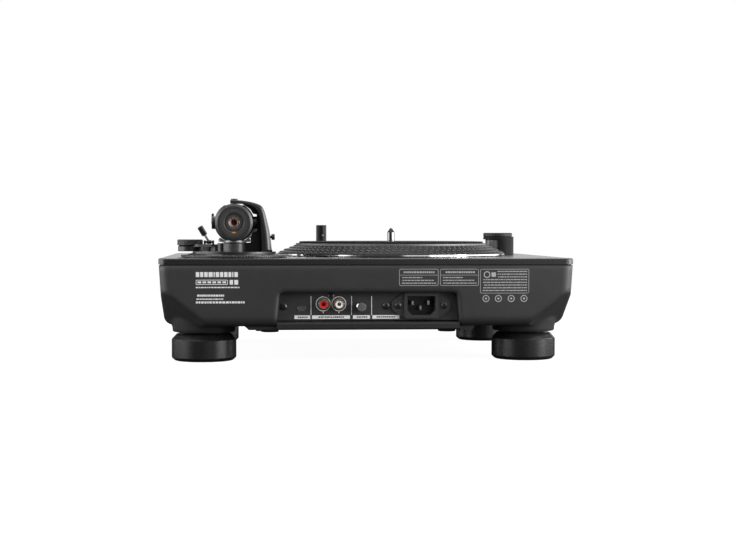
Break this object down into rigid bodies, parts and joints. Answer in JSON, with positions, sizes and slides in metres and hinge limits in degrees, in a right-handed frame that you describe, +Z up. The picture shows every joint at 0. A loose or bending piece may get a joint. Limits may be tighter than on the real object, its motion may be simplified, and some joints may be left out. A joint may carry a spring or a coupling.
{
  "type": "turntable record player",
  "caption": "Compact direct-drive record player: deck with dotted platter, gimbal tonearm with counterweight, strobe tower, target light, adjustable feet and a recessed rear connector panel.",
  "frame": {"origin": "centre of the footprint, on the surface the feet stand on", "axes": "+Z up, -Y towards the front of the deck, +Y towards the connectors, +X towards the tonearm side"},
  "size_m": [0.3584, 0.3, 0.1416],
  "materials": {
    "deck_paint": "satin black paint",
    "plinth_plastic": "fine grained charcoal",
    "black_steel": "black powder coat",
    "black_screw": "black oxide",
    "pad_rubber": "soft",
    "foot_black": "satin turned",
    "jack_metal": "gold plated",
    "red_plastic": "moulded",
    "white_plastic": "moulded",
    "port_steel": "pressed",
    "bright_chrome": "plated",
    "inlet_plastic": "moulded",
    "contact_steel": "nickel plated",
    "board_green": "solder mask",
    "motor_cast": "cast",
    "winding_copper": "enamelled wire",
    "magnet_grey": "sintered",
    "spindle_steel": "ground",
    "platter_metal": "black anodised, bright edge",
    "mat_felt": "pressed felt",
    "arm_black": "satin",
    "knob_black": "satin",
    "head_black": "anodised",
    "pickup_plastic": "moulded",
    "stylus_plastic": "moulded",
    "weight_steel": "satin black",
    "tower_plastic": "satin dark grey",
    "window_clear": "diffusing",
    "light_black": "satin",
    "button_grey": "satin"
  },
  "bodies": {
    "deck": {"top_plate": "deck_paint", "plinth_shell": "plinth_plastic", "bottom_tray": "black_steel", "tray_screws": "black_screw", "tray_pads": "pad_rubber", "connector_panel": "black_steel", "panel_screws": "black_screw", "rca_shells": "jack_metal", "rca_insulator_red": "red_plastic", "rca_insulator_white": "white_plastic", "service_port": "port_steel", "ground_stud": "bright_chrome", "inlet_housing": "inlet_plastic", "inlet_pins": "contact_steel", "main_board": "board_green", "power_supply": "board_green", "bearing_housing": "motor_cast", "motor_stator": "winding_copper", "arm_sleeve": "arm_black", "arm_rest": "arm_black", "strobe_tower": "tower_plastic", "strobe_window": "window_clear", "fader_track": "black_steel"},
    "platter": {"platter": "platter_metal", "rotor_magnet": "magnet_grey", "spindle": "spindle_steel"},
    "slipmat": {"slipmat": "mat_felt"},
    "height_ring": {"height_ring": "arm_black"},
    "arm_base": {"arm_base": "arm_black", "arm_post": "arm_black", "arm_arch": "arm_black", "top_pivot_screw": "arm_black", "cue_bracket": "arm_black"},
    "gimbal": {"gimbal_ring": "arm_black", "gimbal_collar": "bright_chrome"},
    "arm": {"pivot_block": "arm_black", "arm_tube": "arm_black", "counterweight_shaft": "weight_steel", "head_shell": "head_black", "cartridge": "pickup_plastic", "stylus": "stylus_plastic"},
    "shell_collar": {"shell_collar": "arm_black"},
    "counterweight": {"counterweight": "weight_steel"},
    "weight_dial": {"weight_dial": "knob_black"},
    "anti_skate": {"anti_skate_knob": "knob_black"},
    "cue_lever": {"cue_lever": "arm_black"},
    "lift_bar": {"lift_bar": "arm_black"},
    "arch_knob": {"arch_knob": "arm_black"},
    "arm_clamp": {"arm_clamp": "arm_black"},
    "target_light": {"target_light": "light_black"},
    "power_dial": {"power_dial": "knob_black"},
    "start_stop": {"start_stop_button": "button_grey"},
    "speed_33": {"speed_button_33": "button_grey"},
    "speed_45": {"speed_button_45": "button_grey"},
    "fader": {"fader_cap": "knob_black"},
    "ground_nut": {"ground_nut": "bright_chrome"},
    "foot_front_left": {"foot_front_left": "foot_black"},
    "foot_front_right": {"foot_front_right": "foot_black"},
    "foot_rear_left": {"foot_rear_left": "foot_black"},
    "foot_rear_right": {"foot_rear_right": "foot_black"}
  },
  "joints": [
    {"name": "platter_spin", "type": "hinge", "parent": "deck", "child": "platter", "pos_m": [-0.0337, 0, 0.095], "axis": [0, 0, 1], "continuous": true},
    {"name": "slipmat_slip", "type": "hinge", "parent": "platter", "child": "slipmat", "pos_m": [-0.0337, 0, 0.102], "axis": [0, 0, 1], "continuous": true},
    {"name": "height_ring_turn", "type": "hinge", "parent": "deck", "child": "height_ring", "pos_m": [0.1153, 0.097, 0.091], "axis": [0, 0, 1], "range_deg": [0, 300]},
    {"name": "arm_base_rise", "type": "slide", "parent": "deck", "child": "arm_base", "axis": [0, 0, 1], "range_m": [0, 0.008]},
    {"name": "arm_swing", "type": "hinge", "parent": "arm_base", "child": "gimbal", "pos_m": [0.1153, 0.097, 0.1204], "axis": [0, 0, -1], "range_deg": [0, 44]},
    {"name": "arm_tilt", "type": "hinge", "parent": "gimbal", "child": "arm", "pos_m": [0.1153, 0.097, 0.1204], "axis": [-1, 0, 0], "range_deg": [0, 10]},
    {"name": "shell_collar_turn", "type": "hinge", "parent": "arm", "child": "shell_collar", "pos_m": [0.11374, -0.052, 0.1204], "axis": [-0.3746, -0.9272, 0], "range_deg": [0, 90]},
    {"name": "counterweight_turn", "type": "hinge", "parent": "arm", "child": "counterweight", "pos_m": [0.1153, 0.122, 0.1204], "axis": [0, 1, 0], "range_deg": [-360, 360]},
    {"name": "weight_dial_turn", "type": "hinge", "parent": "counterweight", "child": "weight_dial", "pos_m": [0.1153, 0.115, 0.1204], "axis": [0, 1, 0], "continuous": true},
    {"name": "anti_skate_turn", "type": "hinge", "parent": "arm_base", "child": "anti_skate", "pos_m": [0.1559, 0.06, 0.103], "axis": [0, 0, 1], "range_deg": [0, 270]},
    {"name": "cue_lever_swing", "type": "hinge", "parent": "arm_base", "child": "cue_lever", "pos_m": [0.1387, 0.065, 0.103], "axis": [1, 0, 0], "range_deg": [0, 45]},
    {"name": "lift_bar_rise", "type": "slide", "parent": "arm_base", "child": "lift_bar", "axis": [0, 0, 1], "range_m": [0, 0.005]},
    {"name": "arch_knob_turn", "type": "hinge", "parent": "arm_base", "child": "arch_knob", "pos_m": [0.082, 0.098, 0.1078], "axis": [1, 0, 0], "range_deg": [0, 90]},
    {"name": "arm_clamp_swing", "type": "hinge", "parent": "deck", "child": "arm_clamp", "pos_m": [0.1286, 0.037, 0.119], "axis": [0, -1, 0], "range_deg": [0, 88]},
    {"name": "target_light_slide", "type": "slide", "parent": "deck", "child": "target_light", "axis": [0, 0, -1], "range_m": [0, 0.027]},
    {"name": "power_dial_turn", "type": "hinge", "parent": "deck", "child": "power_dial", "pos_m": [-0.1492, -0.065, 0.109], "axis": [0, 0, 1], "range_deg": [0, 40]},
    {"name": "start_stop_press", "type": "slide", "parent": "deck", "child": "start_stop", "axis": [0, 0, -1], "range_m": [0, 0.0015], "stiffness_N_per_m": 300, "springref_m": -0.003},
    {"name": "speed_33_press", "type": "slide", "parent": "deck", "child": "speed_33", "axis": [0, 0, -1], "range_m": [0, 0.0015], "stiffness_N_per_m": 300, "springref_m": -0.003},
    {"name": "speed_45_press", "type": "slide", "parent": "deck", "child": "speed_45", "axis": [0, 0, -1], "range_m": [0, 0.0015], "stiffness_N_per_m": 300, "springref_m": -0.003},
    {"name": "pitch_fader_slide", "type": "slide", "parent": "deck", "child": "fader", "axis": [0, 1, 0], "range_m": [-0.037, 0.037]},
    {"name": "ground_nut_turn", "type": "hinge", "parent": "deck", "child": "ground_nut", "pos_m": [0.0062, 0.146, 0.0482], "axis": [0, 1, 0], "range_deg": [0, 360]},
    {"name": "foot_front_left_height", "type": "slide", "parent": "deck", "child": "foot_front_left", "axis": [0, 0, 1], "range_m": [-0.006, 0.001]},
    {"name": "foot_front_right_height", "type": "slide", "parent": "deck", "child": "foot_front_right", "axis": [0, 0, 1], "range_m": [-0.006, 0.001]},
    {"name": "foot_rear_left_height", "type": "slide", "parent": "deck", "child": "foot_rear_left", "axis": [0, 0, 1], "range_m": [-0.006, 0.001]},
    {"name": "foot_rear_right_height", "type": "slide", "parent": "deck", "child": "foot_rear_right", "axis": [0, 0, 1], "range_m": [-0.006, 0.001]}
  ],
  "couplings": [
    {"joint": "arm_base_rise", "follows": "height_ring_turn", "m_per_rad": 0.0015264},
    {"joint": "lift_bar_rise", "follows": "cue_lever_swing", "m_per_rad": 0.0063598}
  ]
}
